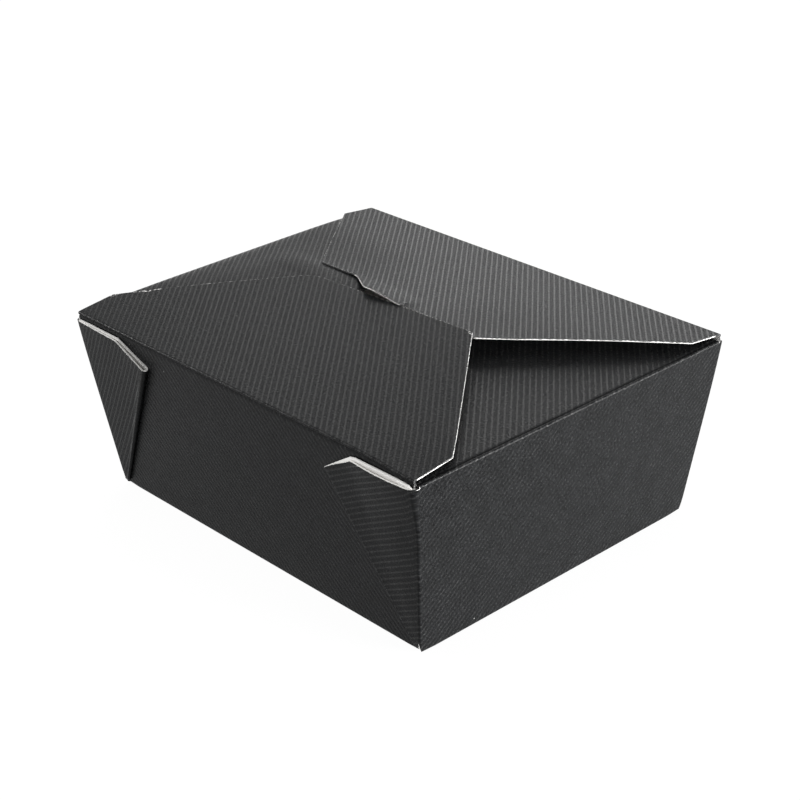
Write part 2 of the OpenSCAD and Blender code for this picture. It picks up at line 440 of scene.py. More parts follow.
def printed_side():
    material, tree, shader = new_material("black_pinstripe_print")
    grain, speckle, cloud, place = add_fibre(tree)
    line = stripe_lines(tree, place, grain, speckle)
    marks = node(
        tree, "ShaderNodeGroup", {"Blank": place, "Speckle": speckle}, node_tree=fold_marks
    ).outputs
    # The tint is the fibres' mottle times painted shade along the groove beside each fold.
    tint = join(
        tree, "MULTIPLY", vary(tree, cloud, noise_span, (0.85, 1.15)),
        vary(tree, speckle, noise_span, (0.5, 1.5)), vary(tree, grain, noise_span, (0.6, 1.4)),
        math_node(tree, "MULTIPLY_ADD", marks["PressedAndShaded"], -groove_painted_shade, 1.0),
    )
    colour = dim(tree, mix_colour(tree, line, ink, stripe_grey), tint)

    bare = bare_spots(tree, place, speckle, cloud, marks["CracksAndHighlight"])
    tree.links.new(mix_colour(tree, bare, colour, board_white), shader.inputs["Base Color"])

    # The stripes' thicker ink film is smoother than the black around it, and a groove is rougher.
    rough = join(
        tree, "ADD", vary(tree, speckle, noise_span, (0.18, 0.42)),
        vary(tree, grain, noise_core, (0, 0.34)),
    )
    rough = math_node(tree, "MULTIPLY_ADD", line, -stripe_smoother, rough)
    rough = math_node(tree, "MULTIPLY_ADD", marks["PressedAndShaded"], groove_rougher, rough)
    tree.links.new(rough, shader.inputs["Roughness"])
    height = math_node(tree, "MULTIPLY_ADD", grain, 0.4, speckle)
    bump = node(tree, "ShaderNodeBump", {
        "Strength": print_bump, "Distance": print_bump_depth, "Height": height,
    })
    tree.links.new(bump.outputs["Normal"], shader.inputs["Normal"])
    shader.inputs["Specular IOR Level"].default_value = ink_gloss
    return material


# Plain side: the bare white board inside the box, which has no print and no coat. Its fibres give
# it a faint mottle and a soft, dull surface.
plain_rough = 0.7
plain_bump = 0.3
plain_bump_depth = 0.00015


def plain_side():
    material, tree, shader = new_material("bare_white_board")
    speckle = add_fibre(tree)[1]
    tint = math_node(tree, "MULTIPLY_ADD", speckle, 0.16, 0.92)
    tree.links.new(dim(tree, board_white[:3], tint), shader.inputs["Base Color"])
    bump = node(tree, "ShaderNodeBump", {
        "Strength": plain_bump, "Distance": plain_bump_depth, "Height": speckle,
    })
    tree.links.new(bump.outputs["Normal"], shader.inputs["Normal"])
    shader.inputs["Roughness"].default_value = plain_rough
    return material


# Cut edge: the board's white core, left bare where the die has cut it. The die drags some ink over
# the edge's outer part, so it looks broken, and at some places the edge is painted black all over,
# partly as ink and partly as painted shade.
cut_rough = 0.8
slit_middle = 5.1

# Each place is where all its soft steps hold: a measure on the blank, where the step starts and
# where it is complete. The webs' edges are clean and white. Painted black, partly as ink run round
# the edge and partly as painted shade, are the ends of the long flaps' folds, the back flap's sides
# at its hinge, the slit, the shelf and the ends of the short rims.
clean_at_webs = (("half_x", 84.0, 85.0), ("half_y", 67.2, 67.8))
ink_and_shade_places = (
    (("from_groove", 2.2, 1.6), ("half_x", 84.7, 84.5)),
    (("y", 122.5, 123.0), ("y", 129.5, 128.5), ("half_x", 84.7, 84.5)),
    (("y", 186.0, 187.0), ("from_slit", 0.5, 0.3)),
    (("x", -28.5, -29.5), ("y", 126, 128)),
    (("half_x", 138.0, 138.6), ("half_y", 67.2, 66.9)),
)


def cut_side():
    material, tree, shader = new_material("white_cut_edge")
    _, speckle, cloud, place = add_fibre(tree)
    flat = node(tree, "ShaderNodeSeparateXYZ", {"Vector": place}).outputs
    measures = {"x": flat["X"], "y": flat["Y"]}
    for name, of, line_at in (("half_x", "x", 0), ("half_y", "y", 0),
                              ("from_groove", "half_y", long_groove_at),
                              ("from_slit", "x", slit_middle)):
        off = math_node(tree, "SUBTRACT", measures[of], line_at)
        measures[name] = math_node(tree, "ABSOLUTE", off)

    def at(steps):
        return join(tree, "MULTIPLY", *[
            soft_step(tree, measures[name], start, end) for name, start, end in steps
        ])

    drag = join(
        tree, "ADD", attribute(tree, "depth", "Fac"), vary(tree, speckle, noise_core, (0, -0.5)),
        vary(tree, cloud, noise_core, (0, -0.25)), at(clean_at_webs),
    )
    # The ink's smear, joined with the places painted black as ink and as painted shade.
    smear_and_shade = join(
        tree, "MAXIMUM", soft_step(tree, drag, 0.22, 0.05), *[at(steps) for steps in ink_and_shade_places]
    )
    tint = math_node(tree, "MULTIPLY_ADD", speckle, 0.25, 0.85)
    colour = mix_colour(tree, smear_and_shade, dim(tree, board_white[:3], tint), ink)
    tree.links.new(colour, shader.inputs["Base Color"])
    shader.inputs["Roughness"].default_value = cut_rough
    return material


board_materials = (printed_side(), plain_side(), cut_side())

# Walls and corner webs. At a corner the board turns back on itself, lies glued against the long
# wall, turns again at the web's diagonal fold, comes back as the outer layer and goes on into the
# short wall. One ring of points follows that way, so walls and webs are one unbroken sheet.
web_t = 1.2
inner_lift = 0.4
wall_belly = 0.25
corner_r_foot = 0.45
corner_r_rim = 1.75
corner_open_power = 6
corner_run_per_r = 1.08
loop_r_foot = 0.26
loop_r_rim = 0.42
loop_inset = 0.56
foot_t = 0.012
foot_end_t = 0.036
lip_from_t = 0.5
lift_from_t = 0.8
loop_end_a = 0.12
column_gap = 0.02
bow_stretch = 1.1
bow_at_foot = 0.35
long_columns = 85
short_columns = 67
loop_columns = 9
fold_columns = 11
round_columns = 10
corner_long = math.atan(rim_grow_l / long_rim_v)
corner_short = math.atan(rim_grow_w / short_rim_v)
short_angle = math.radians(90) - corner_short

# Each web: length of its level top edge, its tip along and up the long wall, how open its fold is,
# how far its outer layer bows off, how far its inner layer stands proud, and how low it sits.
webs = {
    (0, 1): (28.3, (-32.3, 55.2), 0.2, 1.1, 1.0, 1.1),
    (0, -1): (24.0, (-28.7, 57.6), 1.3, 0.1, 0.3, 0.0),
    (2, 1): (25.5, (-32.0, 56.4), 0.6, 1.2, 1.1, 0.3),
    (2, -1): (24.5, (-31.2, 56.8), 1.0, 0.9, 0.9, 0.2),
}

# The columns of a web's two layers, as shares of its half angle from the corner's edge. They are
# closer at the loop, at the bend of the top edge and at the diagonal fold.
inner_columns = np.array([
    .05, .11, .19, .27, .35, .43, .49, .56, .61, .67, .75, .83, .9, .955
])
outer_columns = np.array([
    .977, .93, .877, .823, .77, .717, .664, .624, .584, .531, .478, .425, .372, .319, .266, .212,
    .173, .133, .106, .085
])

# The levels of the ring, as shares of the wall's height.
levels = np.concatenate([
    [foot_t, 0.022, 0.035, 0.05, 0.065], np.linspace(0.085, 0.93, 24), [0.95, 0.966, 0.98, 0.991, 1]
])
t = levels[:, None]
rim_edge = long_rim_v * t / math.cos(corner_long)

# A long wall leaves its plane for the tight loop in which it turns back. The round outer corner is
# sharp nearly up to the rim, and reaches into the short wall by its run.
loop_r = loop_r_foot + (loop_r_rim - loop_r_foot) * t
loop_start = base_half_l + rim_grow_l * t - loop_inset - loop_r
corner_r = corner_r_foot + (corner_r_rim - corner_r_foot) * t ** corner_open_power
corner_run = corner_r * corner_run_per_r


def web_ray(a):
    """Direction over the long wall of the blank's ray that lies a past the corner's edge."""
    return np.stack([np.sin(corner_long - a), np.cos(corner_long - a)], -1)


def web_shape(k, mirror):
    """Bend and tip of a web's top edge, and the angles from the corner's edge to both."""
    level_l, tip = webs[k, mirror][:2]
    bend = np.array([rim_grow_l - level_l, long_rim_v])
    bend_a = corner_long - math.atan2(bend[0], bend[1])
    return bend, np.array(tip), bend_a, corner_long - math.atan2(tip[0], tip[1])


def top_edge(k, mirror, a, proud=0):
    """How far a web's layer reaches from the base corner along the rays at a, over all levels."""
    bend, tip, bend_a, half = web_shape(k, mirror)
    low = webs[k, mirror][5]
    ray, way = web_ray(a), tip - bend
    slant = (bend[0] * way[1] - bend[1] * way[0]) / (ray[..., 0] * way[1] - ray[..., 1] * way[0])
    edge = np.where(a <= bend_a, long_rim_v / ray[..., 1], slant)
    more = (proud - low * ramp(a, 0, bend_a)) / long_rim_v * ramp(half - a, 0, half - bend_a)
    return t * edge * (1 + more * ramp(t, lip_from_t, 1))


def wall_level(k, share):
    """Points of a wall for shares from -1 to 1 of its straight stretch, over all levels."""
    if k % 2 == 0:
        half = loop_start
        out = base_half_w - board_t / 2 + rim_grow_w * t + 0 * share
        blank_out = base_half_w + long_rim_v * t + 0 * share
    else:
        half = corner_half_w + rim_grow_w * t - corner_run
        out = base_half_l + rim_grow_l * t + 0 * share
        blank_out = base_half_l + short_rim_v * t + 0 * share
    belly = wall_belly * np.sin(math.pi * t) * np.cos(math.pi / 2 * share)
    u = half * share
    return side_point(k, u, out + belly, wall_h * t), side_blank(k, u, blank_out)


def on_long_wall(k, mirror, along, v, w):
    """A point over long wall k: along from the base corner, v up the slope, w off its face."""
    u = mirror * (base_half_l + along)
    out = base_half_w + v * math.sin(long_lean) + w * math.cos(long_lean)
    return side_point(k, u, out, v * math.cos(long_lean) - w * math.sin(long_lean))


def web_blank(k, mirror, r, angle):
    """A web point on the blank: r from the base corner, at an angle from the long wall's normal."""
    return side_blank(
        k, mirror * (base_half_l + r * np.sin(angle)), base_half_w + r * np.cos(angle)
    )


def tight_loop(k, mirror):
    """The loop in which the long wall turns back on itself, from the wall to the inner layer."""
    turn = np.linspace(0, math.pi, loop_columns)[None, :]
    r = loop_r
    along = loop_start - base_half_l + r * np.sin(turn)
    w = r - board_t / 2 - r * np.cos(turn)
    grid = on_long_wall(k, mirror, along, long_rim_v * t, w)
    return grid, web_blank(k, mirror, rim_edge, corner_long + 0 * turn)


def inner_layer(k, mirror):
    """The web's layer that is glued against the wall, from the loop to the diagonal fold."""
    half = web_shape(k, mirror)[3]
    a = half * inner_columns[None, :]
    edge, ray = top_edge(k, mirror, a, webs[k, mirror][4]), web_ray(a)
    before_loop = loop_start - base_half_l - column_gap * np.arange(1, a.size + 1)
    along = np.minimum(edge * ray[..., 0], before_loop)
    off = inner_lift * ramp(t, lift_from_t, 1) * np.sin(math.pi * (a / half))
    flat_part = ramp(a, 0, loop_end_a)
    w = (2 * loop_r - board_t / 2) * (1 - flat_part) + board_t / 2 * flat_part + off
    grid = on_long_wall(k, mirror, along, edge * ray[..., 1], w)
    return grid, web_blank(k, mirror, edge, corner_long + a)


def diagonal_fold(k, mirror):
    """The web's fold, which goes round the stack of both layers and what parts them."""
    _, tip, _, half = web_shape(k, mirror)
    tip_gap = webs[k, mirror][2]
    s = np.radians(np.linspace(-90, 90, fold_columns))[None, :]
    stack = web_t / 2 + t * tip_gap / 2
    fold_r = stack - board_t / 2
    away = -np.array([math.cos(half - corner_long), math.sin(half - corner_long)])
    fold = t * math.hypot(*tip) + 0 * s
    ray = web_ray(np.array(half))
    grid = on_long_wall(
        k, mirror, fold * ray[0] + fold_r * np.cos(s) * away[0],
        fold * ray[1] + fold_r * np.cos(s) * away[1], stack + fold_r * np.sin(s),
    )
    round_a = s * fold_r / np.maximum(fold, 1)
    return grid, web_blank(k, mirror, fold, corner_long + half + round_a)


def outer_layer(k, mirror):
    """The web's layer that is seen, from the diagonal fold back to the corner."""
    _, tip, bend_a, half = web_shape(k, mirror)
    tip_gap, bow = webs[k, mirror][2:4]
    a = half * outer_columns[None, :]
    edge, ray = top_edge(k, mirror, a), web_ray(a)
    gap = tip_gap * a / half + bow * np.sin(math.pi * np.clip(a / bend_a / bow_stretch, 0, 1))
    gap = edge / math.hypot(*tip) * gap * (bow_at_foot + (1 - bow_at_foot) * t ** 3)
    w = web_t - board_t / 2 + gap
    grid = on_long_wall(k, mirror, edge * ray[..., 0], edge * ray[..., 1], w)
    return grid, web_blank(k, mirror, edge, short_angle - a)


def round_corner(k, mirror, layer_end):
    """The round outer corner, tangent to the outer layer and to the short wall."""
    corner = side_point(
        k, mirror * (base_half_l + rim_grow_l * t), corner_half_w + rim_grow_w * t, wall_h * t
    )
    back = layer_end - corner
    back /= np.linalg.norm(back, axis=-1, keepdims=True)
    into = side_point(k, 0, -1, 0)[None, None, :]
    half_turn = np.arccos(np.clip((back * into).sum(-1, keepdims=True), -1, 1)) / 2
    round_r = corner_r[..., None]
    run = round_r / np.tan(half_turn)
    centre = corner + (back + into) / np.linalg.norm(back + into, axis=-1, keepdims=True) * (
        round_r / np.sin(half_turn)
    )
    start = (corner + back * run - centre) / round_r
    share = np.linspace(0, 1, round_columns)[None, :, None]
    sweep = (math.pi - 2 * half_turn) * share
    grid = centre + round_r * (np.cos(sweep) * start - np.sin(sweep) * back)
    first = web_blank(k, mirror, rim_edge + 0 * share[..., 0], short_angle)
    last = side_blank(
        k, mirror * (base_half_l + short_rim_v * t),
        corner_half_w + rim_grow_w * t - corner_run + 0 * share[..., 0],
    )
    return grid, first + (last - first) * share


def corner_ring(k, mirror):
    """The folded corner from long wall k to the next short wall, over all levels."""
    parts = [part(k, mirror) for part in (tight_loop, inner_layer, diagonal_fold, outer_layer)]
    parts.append(round_corner(k, mirror, parts[-1][0][:, -1:]))
    grid = np.concatenate([points for points, _ in parts], 1)
    flat = np.concatenate([places for _, places in parts], 1)

    # At the foot all layers run out into one plain round corner.
    share = np.linspace(0, 1, grid.shape[1])[None, :, None]
    ends = [grid[:, :1], grid[:, -1:]]
    knee = np.where(np.abs(side_point(k, 1, 0, 0)) > 0.5, ends[1], ends[0])
    plain = (1 - share) ** 2 * ends[0] + 2 * share * (1 - share) * knee + share ** 2 * ends[1]
    grid = plain + (grid - plain) * ramp(t, foot_t, foot_end_t)[..., None]
    if mirror < 0:
        return grid[:, ::-1], flat[:, ::-1]
    return grid, flat


# The long walls' strips and the dust flaps go on from columns of the ring, so their side edges are
# columns too.
strip_half = 83.6
dust_half = 66.1
loop_start_rim = loop_start[-1, 0]
short_half_rim = (corner_half_w + rim_grow_w * t - corner_run)[-1, 0]


def shares(edge_share, count):
    """Columns of a wall from end to end, with those of its flap's side edges among them."""
    inside = np.linspace(-edge_share, edge_share, count)
    return np.concatenate([[-1], inside, [1]])


long_share = shares(strip_half / loop_start_rim, long_columns)
short_share = shares(dust_half / short_half_rim, short_columns)
ring = [wall_level(0, long_share[None, :]), corner_ring(0, 1), wall_level(1, short_share[None, :]),
        corner_ring(2, -1), wall_level(2, long_share[None, :]), corner_ring(2, 1),
        wall_level(3, short_share[None, :]), corner_ring(0, -1)]
grid = np.concatenate([points for points, _ in ring], 1)
flat = np.concatenate([places for _, places in ring], 1)

# Base fold: the creases between the walls and the base. Under the lowest level the ring turns in
# through a small round to the base's outline.
base_fold_r = 0.45
base_fold_steps = np.radians([90, 68, 45, 22])
foot_half_l = base_half_l - base_fold_r
foot_half_w = base_half_w - board_t / 2 - base_fold_r
feet = []
for k, (points, _) in zip([0, None, 1, None, 2, None, 3, None], ring):
    count = points.shape[1]
    if k is None:
        corner = np.sign(points[0, count // 2, :2]) * [foot_half_l, foot_half_w]
        feet.append(np.repeat(corner[None, :], count, 0))
    else:
        along, out = (foot_half_l, foot_half_w) if k % 2 == 0 else (foot_half_w, foot_half_l)
        share = long_share if k % 2 == 0 else short_share
        feet.append(side_point(k, along * share, out, 0)[:, :2])
feet = np.concatenate(feet)
fold_rows, fold_flats = [], []
for angle in base_fold_steps:
    inward = 1 - math.cos(angle)
    spot = grid[0, :, :2] * (1 - inward) + feet * inward
    z = board_t / 2 + (grid[0, :, 2] - board_t / 2) * (1 - math.sin(angle))
    fold_rows.append(np.concatenate([spot, z[:, None]], 1))
    fold_flats.append(flat[0] * (1 - inward) + np.concatenate([feet, 0 * feet[:, :1]], 1) * inward)
grid = np.concatenate([np.array(fold_rows), grid])
flat = np.concatenate([np.array(fold_flats), flat])
carton_panels = [(grid, flat, True)]

# Base: the middle panel of the sheet. It lies flat between the four folds, and the box stands on
# its printed side, which has the same pinstripes as the walls.
xs, ys = np.meshgrid(foot_half_l * long_share, -foot_half_w * short_share)
base_grid = np.stack([xs, ys, 0 * xs + board_t / 2], -1)
carton_panels.append((base_grid, base_grid * [1, 1, 0], False))

# Front flap. It hinges on the front wall's strip, lies over both dust flaps and ends at the middle
# of the box, with a round corner on the left. Its left side has relaxed and its right one stands.
crease_z = wall_h + strip_h
strip_top_half = base_half_w + rim_grow_w + strip_h * math.tan(long_lean)
crease_out = strip_top_half - board_t / 2 / math.cos(long_lean)
flap_rise = math.radians(6.3)
flap_l = (crease_out - 0.25) / math.cos(flap_rise)
flap_half = 84.2
shoulder_d = 14.2
shoulder_half = 84.0
flap_tip_half = 38.5
crease_r = 0.4
groove_depth = 0.3

# The groove under a long flap's fold: distances below the fold and shares of the full depth.
groove_profile = ((2.1, 0), (1.55, 0.15), (1.25, 0.8), (1.0, 1), (0.75, 0.85), (0.55, 0.15))

# What the front flap's surface rises over its plane: its free edge stands higher on the right and
# lower on the left, and its left part bulges a little.
front_tip_rise = 1.2
front_tip_half = 38
front_bulge = 0.5
front_bulge_span = (20, 70)


def crease_rows(low, vertex, rise):
    """Profile (out, z, length) from height low of a wall, round the fold at vertex, to the flap."""
    up = np.array([vertex[0] - low[0], vertex[1] - low[1]])
    wall_l = np.linalg.norm(up)
    up /= wall_l
    flap = np.array([-math.cos(rise), math.sin(rise)])
    turn = math.acos(float(up @ flap))
    run = crease_r * math.tan(turn / 2)
    side = np.array([-up[1], up[0]])
    rows = []
    for below, depth in groove_profile:
        if below < wall_l - 0.05 and below > run + 0.02:
            spot = vertex - up * below + side * groove_depth * depth
            rows.append((*spot, wall_l - below))
    centre = vertex - up * run + side * crease_r
    for angle in np.linspace(0, turn, 8):
        spot = centre + crease_r * (math.sin(angle) * up - math.cos(angle) * side)
        rows.append((*spot, wall_l - run + crease_r * angle))
    return rows, run


def side_half(d):
    """Half the width of a long flap at distance d from its fold."""
    near = flap_half + (shoulder_half - flap_half) * d / shoulder_d
    far = shoulder_half + (flap_tip_half - shoulder_half) * (d - shoulder_d) / (flap_l - shoulder_d)
    return np.where(d < shoulder_d, near, far)


def flap_panel(k, ring_rows, ring_flats, share, crease, reach, outline, height):
    """A flap from the last row of its wall: its crease's rows, then rows at the distances reach.

    outline gives the left and right half width at a distance, height what the surface rises over
    its plane.
    """
    rows, run = crease_rows(*crease)
    rise = crease[2]
    vertex = crease[1]
    grids, flats = [ring_rows], [ring_flats]
    wall_out = np.abs(ring_flats[len(ring_flats) // 2, :2]).max()
    left, right = outline(0.0)
    for out, z, length in rows:
        u = share * np.where(share < 0, left, right)
        grids.append(side_point(k, u, out, z))
        flats.append(side_blank(k, u, wall_out + length))
    start = wall_out + rows[-1][2] - run
    for d in reach:
        left, right = outline(d)
        u = share * np.where(share < 0, left, right)
        rise_z = vertex[1] + d * math.sin(rise) + height(u, d)
        grids.append(side_point(k, u, vertex[0] - d * math.cos(rise), rise_z))
        flats.append(side_blank(k, u, start + d))
    return np.array(grids), np.array(flats), False


def wall_columns(k):
    """The last level of a wall, without its two end columns."""
    before = sum(points.shape[1] for points, _ in ring[:2 * k])
    count = ring[2 * k][0].shape[1]
    rows = slice(before + 1, before + count - 1)
    return grid[-1, rows], flat[-1, rows]


# Its round left corner, tangent to the slanted side and to the free edge.
front_r = 12.0
side_way = math.atan2(flap_l - shoulder_d, shoulder_half - flap_tip_half)
front_r_d = flap_l - front_r
front_r_u = flap_tip_half - front_r / math.tan((math.pi - side_way) / 2)
front_r_from = front_r_d + front_r * math.cos(side_way)


def front_outline(d):
    right = float(side_half(d))
    if d <= front_r_from:
        return right, right
    return front_r_u + math.sqrt(max(front_r ** 2 - (d - front_r_d) ** 2, 0)), right


def front_height(u, d):
    tip = (d / flap_l) ** 2 * (front_tip_rise * np.clip(u / front_tip_half, -1, 1.1))
    return tip + front_bulge * np.sin(math.pi * d / flap_l) * ramp(-u, *front_bulge_span)


front_reach = np.concatenate([
    np.linspace(0.6, shoulder_d, 10), np.linspace(15.5, front_r_from, 26),
    front_r_d + front_r * np.sin(np.radians(np.linspace(
        90 - math.degrees(side_way) + 4, 90, 10
    ))),
])
front_low = np.array([crease_out - strip_h * math.tan(long_lean), wall_h])
long_vertex = np.array([crease_out, crease_z])
inside_long = long_share[1:-1] / long_share[-2]
rows, flats = wall_columns(0)
carton_panels.append(flap_panel(
    0, rows, flats, inside_long, (front_low, long_vertex, flap_rise), front_reach, front_outline,
    front_height,
))

# Dust flaps. One stands on each short wall and lies under the long flaps. The right one lies almost
# flat; the left one springs up from its fold and bows up against the long flaps.
dust_l = 65.5
dust_shoulder = 12.0
dust_tip_half = 26.0
dust_corner_r = 5.0
dust_rise = math.radians(3)
dust_groove_depth = 0.28
dust_groove_at = 1.1
dust_groove_reach = 0.35
right_dip = 0.3

# The left one's way up from its fold: a quick spring, a slope that bends down again, and an arch.
left_spring = 5.2
left_spring_reach = 3.1
left_slope = 0.08
left_bend = 0.0012
left_arch = 1.3
left_arch_span = (12, 33)
roof_clearance = 0.05
roof_softness = 0.5

# It stops where it lies against both long flaps, so their shapes come first: the back one's left
# part is cut back to a shelf, and its tab is lifted left of a short lock slit.
tab_recess = 9.5
shelf_d = flap_l - tab_recess
tab_step_u = 29.0
tab_slant_u = 17.0
slit_u = -5.0
slit_w = 0.2
slit_l = 2.6
slit_d = flap_l - slit_l
tab_d = flap_l + 0.8
back_tip_rise = 0.15
back_sag = 0.9
back_sags = ((-1, (12, 38), (30, 67)), (1, (16, 36), (25, 58)))
lift_at_slit = 0.6
lift_beyond = 1.4
lift_full_u = 9
lift_from = 4.5
lift_rows = (slit_d - 9, flap_l + 1.5)
lift_lost_in_slit = 0.8


def dust_outline(d):
    if d < dust_shoulder:
        return dust_half, dust_half
    half = dust_half + (dust_tip_half - dust_half) * (d - dust_shoulder) / (dust_l - dust_shoulder)
    if d > dust_l - dust_corner_r:
        over = d - (dust_l - dust_corner_r)
        half -= dust_corner_r - math.sqrt(max(dust_corner_r ** 2 - over ** 2, 0))
    return half, half


def back_height(u, d):
    """What the back flap's surface rises over its plane: a soft sag, and the tab's lifted edge."""
    sag = back_tip_rise * (d / flap_l) ** 2
    for side, across, along in back_sags:
        sag = sag - back_sag * ramp(side * u, *across) * ramp(d, *along)
    lifted = lift_at_slit + lift_beyond * ramp(u, slit_u - 1, lift_full_u)
    lifted = lifted * ramp(u, slit_u - lift_from, slit_u) * ramp(d, *lift_rows)
    in_slit = np.clip((d - slit_d) / slit_l, 0, 1)
    return sag + lifted * np.where(u < slit_u - slit_w / 2, 1 - lift_lost_in_slit * in_slit, 1)


def long_roof(x, y):
    """Height of the long flaps' underside over a place."""
    d = (crease_out - np.abs(y)) / math.cos(flap_rise)
    bent = np.where(y < 0, front_height(x, d), back_height(-x, d))
    return crease_z + d * math.sin(flap_rise) + bent - board_t


def left_height(u, d):
    wanted = wall_h + left_spring * (1 - np.exp(-d / left_spring_reach))
    wanted = wanted + left_slope * d - left_bend * d * d + left_arch * ramp(d, *left_arch_span)
    roof = long_roof(d * math.cos(dust_rise) - base_half_l - rim_grow_l, -u)
    roof = roof - board_t / 2 - roof_clearance
    lower = -roof_softness * np.log(
        np.exp(-(wanted - wall_h) / roof_softness) + np.exp(-(roof - wall_h) / roof_softness)
    )
    return lower - d * math.sin(dust_rise)


def right_height(u, d):
    groove = dust_groove_depth * np.exp(-((d - dust_groove_at) / dust_groove_reach) ** 2)
    dip = right_dip * np.sin(math.pi * d / dust_l) * np.cos(math.pi / 2 * u / dust_half)
    return -groove - dip


dust_reach = np.concatenate([
    [0.55, 0.8, 1.1, 1.4, 1.7, 2.3, 3.2, 4.3, 5.5],
    np.linspace(7, dust_l - dust_corner_r, 27)[:-1],
    dust_l - dust_corner_r * (1 - np.sin(np.radians([15, 30, 45, 60, 75, 90]))),
])
dust_rim = np.array([base_half_l + rim_grow_l, wall_h])
dust_crease = (dust_rim - [0, 0.02], dust_rim + [0.06, 0.4], dust_rise)
inside_short = short_share[1:-1] / short_share[-2]
for k, height in ((1, right_height), (3, left_height)):
    rows, flats = wall_columns(k)
    carton_panels.append(flap_panel(
        k, rows, flats, inside_short, dust_crease, dust_reach, dust_outline, height
    ))

# Back strip. The back wall goes on a little above the short walls, with the groove that the back
# flap's crease is pressed with, and ends just under the fold. With it the one sheet is whole.
back_fold_run = 0.9
wall_up = np.array([math.sin(long_lean), math.cos(long_lean)])
wall_in = np.array([-math.cos(long_lean), math.sin(long_lean)])
rows, flats = wall_columns(2)
back_rows, back_flats = [rows], [flats]
for below, depth in groove_profile[:3] + ((back_fold_run, 1),):
    spot = long_vertex - wall_up * below + wall_in * (depth * groove_depth)
    back_rows.append(side_point(2, flap_half * inside_long, *spot))
    back_flats.append(side_blank(2, flap_half * inside_long, strip_end - below))
carton_panels.append((np.array(back_rows), np.array(back_flats), False))
carton_sheet = make_sheet("carton_sheet", carton_panels)
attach(carton_sheet, "box")
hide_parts("carton")

# Back flap. It closes last: its left part is cut back, and its tab lies over the front flap's edge
# and hooks into it with a short slit beside the middle. Right of the slit its edge only meets it.
hook_r = 1.1
shelf_r = 1.5
shelf_half = float(side_half(shelf_d))


def back_grid(us, ds):
    """A block of the back flap: us has one row of places along the fold for each distance in ds."""
    d = np.asarray(ds, float)[:, None]
    grid = side_point(
        2, us, crease_out - d * math.cos(flap_rise),
        crease_z + d * math.sin(flap_rise) + back_height(us, d),
    )
    return grid, side_blank(2, us, strip_end + d + 0 * us), False


def narrowed(us, ds):
    """Rows of us from the shelf on: right of the slit they narrow, left of it they slant."""
    ds = np.asarray(ds, float)[:, None]
    share = (ds - shelf_d) / tab_recess
    right_edge = us[0] + share * (shelf_half - flap_tip_half)
    right = right_edge + (us - us[0]) / (slit_u - slit_w - us[0]) * (slit_u - slit_w - right_edge)
    share = np.clip((ds - shelf_d) / (tab_d - shelf_d), 0, 1)
    slant = (share + 0.5 - np.sin(np.arcsin(1 - 2 * share) / 3)) / 2
    over = np.clip(ds - (tab_d - hook_r), 0, hook_r)
    hook = hook_r - np.sqrt(hook_r ** 2 - over ** 2)
    from_slit = (us - slit_u) / (tab_step_u - slit_u)
    left = us - slant * tab_slant_u * from_slit + hook * (1 - from_slit)
    return np.where(us < slit_u - slit_w / 2, right, left)


# Its columns, with a narrow gap for the slit, and its rows block by block: up to the shelf, from
# the shelf to the slit's end, then right of the slit and left of it.
ends = [-shelf_half, slit_u - slit_w, slit_u, tab_step_u, shelf_half]
pieces = [np.linspace(a, b, n)[:-1] for a, b, n in zip(ends, ends[1:], (42, 2, 40, 18))]
shelf_us = np.concatenate(pieces + [ends[-1:]])
ds = np.concatenate([
    np.linspace(0.55, shoulder_d, 10), np.linspace(16, shelf_d - shelf_r, 25),
    shelf_d - shelf_r * (1 - np.sin(np.radians([20, 40, 60, 75, 90]))),
])
round_cut = shelf_r - np.sqrt(shelf_r ** 2 - np.clip(ds - shelf_d + shelf_r, 0, shelf_r) ** 2)
left_share = np.clip((shelf_us - tab_step_u) / (shelf_half - tab_step_u), 0, 1)
back_panels = [back_grid(
    shelf_us * side_half(ds)[:, None] / shelf_half - round_cut[:, None] * left_share, ds
)]
past_shelf_us = shelf_us[shelf_us < tab_step_u + 1e-6]
ds = np.array([*(shelf_d + np.array([0, 0.1, 0.3, 0.7, 1.4, 2.6, 4, 5.5])), slit_d])
back_panels.append(back_grid(narrowed(past_shelf_us, ds), ds))
right_of_slit = past_shelf_us < slit_u - slit_w / 2
ds = np.linspace(slit_d, flap_l, 5)
back_panels.append(back_grid(narrowed(past_shelf_us, ds)[:, right_of_slit], ds))
ds = np.concatenate([
    np.linspace(slit_d, tab_d - hook_r, 4),
    tab_d - hook_r * (1 - np.sin(np.radians([25, 45, 65, 78, 90]))),
])
back_panels.append(back_grid(narrowed(past_shelf_us, ds)[:, ~right_of_slit], ds))
back_flap = make_sheet("back_flap", back_panels)
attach(back_flap, "flap")
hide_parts("top_flap")

# Back crease. The board bends here when the back flap opens. The fold's own strip is a mesh of its
# own, from the back wall's groove round the fold to the start of the flap.
wall_part = 3
flap_part = 0.55
crease_columns = 86
profile, _ = crease_rows(long_vertex - wall_part * wall_up, long_vertex, flap_rise)
foot = long_vertex - back_fold_run * wall_up + groove_depth * wall_in
foot_at = wall_part - back_fold_run
tip = long_vertex + flap_part * np.array([-math.cos(flap_rise), math.sin(flap_rise)])
fold_rows = [(*foot, foot_at)] + [row for row in profile if row[2] > foot_at + 0.05]
fold_rows.append((*tip, fold_rows[-1][2] + 0.1))
crease_us = np.linspace(-flap_half, flap_half, crease_columns)
crease_grid = np.array([side_point(2, crease_us, out, z) for out, z, _ in fold_rows])
crease_flat = np.array([
    side_blank(2, crease_us, strip_end - wall_part + length) for _, _, length in fold_rows
])
back_crease = make_sheet("back_crease", [(crease_grid, crease_flat, False)])
tuple(side_point(2, 0, *(long_vertex - [0.05, 0.5])) * MM)
tuple(side_point(2, 0, *(long_vertex - [0.5, 0.0])) * MM)
